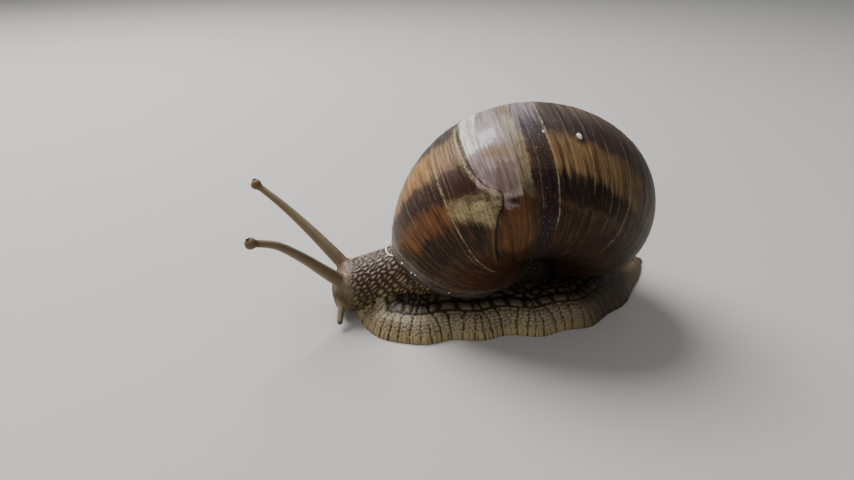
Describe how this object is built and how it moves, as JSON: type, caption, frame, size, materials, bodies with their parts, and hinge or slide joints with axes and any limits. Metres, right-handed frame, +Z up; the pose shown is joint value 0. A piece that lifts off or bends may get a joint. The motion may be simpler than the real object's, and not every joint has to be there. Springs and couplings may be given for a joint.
{
  "type": "land snail",
  "caption": "Crawling land snail with a banded globular shell, a warty neck, a fringed foot and two pairs of feelers, as a still life-size model.",
  "frame": {"origin": "on the ground below the middle of the snail's reach, feeler tips to tail", "axes": "+Z up, -X the way the snail crawls, +Y its right side, the side that the spire leans to"},
  "size_m": [0.0759, 0.0379, 0.0361],
  "materials": {
    "shell": "glossy worn shell, dark brown bands on ochre with fine growth lines",
    "shell_lip": "thin new shell, smooth and slightly clear",
    "mantle": "moist smooth flesh",
    "skin_head": "moist fine-grained skin",
    "skin_neck": "moist skin with long warts",
    "skin_foot": "moist skin with upright grooves",
    "skin_feeler": "smooth, slightly clear skin",
    "eye": "wet black"
  },
  "bodies": {
    "root": {"shell_body_whorl": "shell", "shell_spire": "shell", "shell_apex": "shell", "shell_lip": "shell_lip", "mantle_collar": "mantle", "head": "skin_head", "neck": "skin_neck", "trunk": "skin_neck", "foot_front": "skin_foot", "foot_middle": "skin_foot", "foot_rear": "skin_foot", "tail": "skin_foot", "left_upper_tentacle_base": "skin_feeler", "left_upper_tentacle_middle": "skin_feeler", "left_upper_tentacle_tip": "skin_feeler", "left_eye": "eye", "right_upper_tentacle_base": "skin_feeler", "right_upper_tentacle_middle": "skin_feeler", "right_upper_tentacle_tip": "skin_feeler", "right_eye": "eye", "left_lower_tentacle": "skin_feeler", "right_lower_tentacle": "skin_feeler"}
  },
  "joints": []
}
